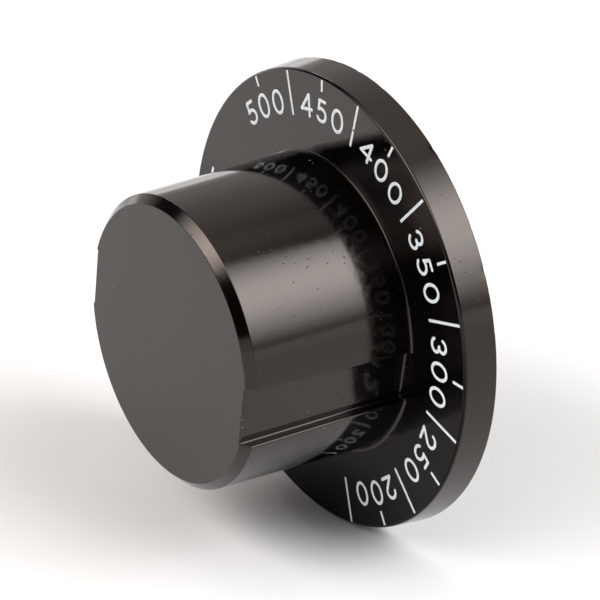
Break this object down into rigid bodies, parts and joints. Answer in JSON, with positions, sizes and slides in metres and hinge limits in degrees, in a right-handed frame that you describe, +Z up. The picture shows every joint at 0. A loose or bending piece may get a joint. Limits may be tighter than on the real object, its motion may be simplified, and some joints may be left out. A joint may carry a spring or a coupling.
{
  "type": "thermostat dial",
  "caption": "Round push-on dial: a drafted cup grip with opposite finger recesses on a wide flange with a printed temperature scale, and a D-shaped shaft socket behind.",
  "frame": {"origin": "centre of the shaft socket's mouth, in the plane of the flange's rear rim", "axes": "+Y along the shaft axis towards the panel, the grip faces -Y, +Z is up with the scale turned as in the picture"},
  "size_m": [0.0603, 0.0273, 0.0602],
  "materials": {
    "black_moulding": "polished black phenolic moulding",
    "spring_steel": "plain tempered strip",
    "white_print": "white printing ink"
  },
  "bodies": {
    "root": {"dial_body": "black_moulding", "retaining_spring": "spring_steel", "scale_ticks": "white_print"}
  },
  "joints": []
}
